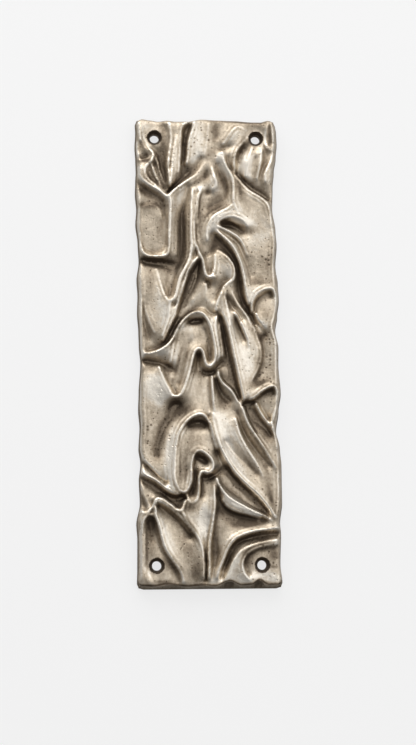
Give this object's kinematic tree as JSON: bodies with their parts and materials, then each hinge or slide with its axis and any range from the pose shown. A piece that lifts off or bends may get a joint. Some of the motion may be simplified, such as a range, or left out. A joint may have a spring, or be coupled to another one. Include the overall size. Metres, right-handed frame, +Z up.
{
  "type": "door finger plate",
  "caption": "Tall flat-backed cast metal plate with a front of flowing raised folds, wavy rolled edges and a countersunk screw hole in each corner, fixed to a door where hands push it.",
  "frame": {"origin": "middle of the flat back face, which is also the middle of the four screw holes", "axes": "+Z up the door, +X to the right seen from the front, +Y into the door; the folded front looks along -Y"},
  "size_m": [0.0792, 0.0088, 0.2583],
  "materials": {
    "cast_metal": "antiqued nickel-coloured casting: dark in the hollows, rubbed bright on the folds"
  },
  "bodies": {
    "root": {"finger_plate": "cast_metal"}
  },
  "joints": []
}
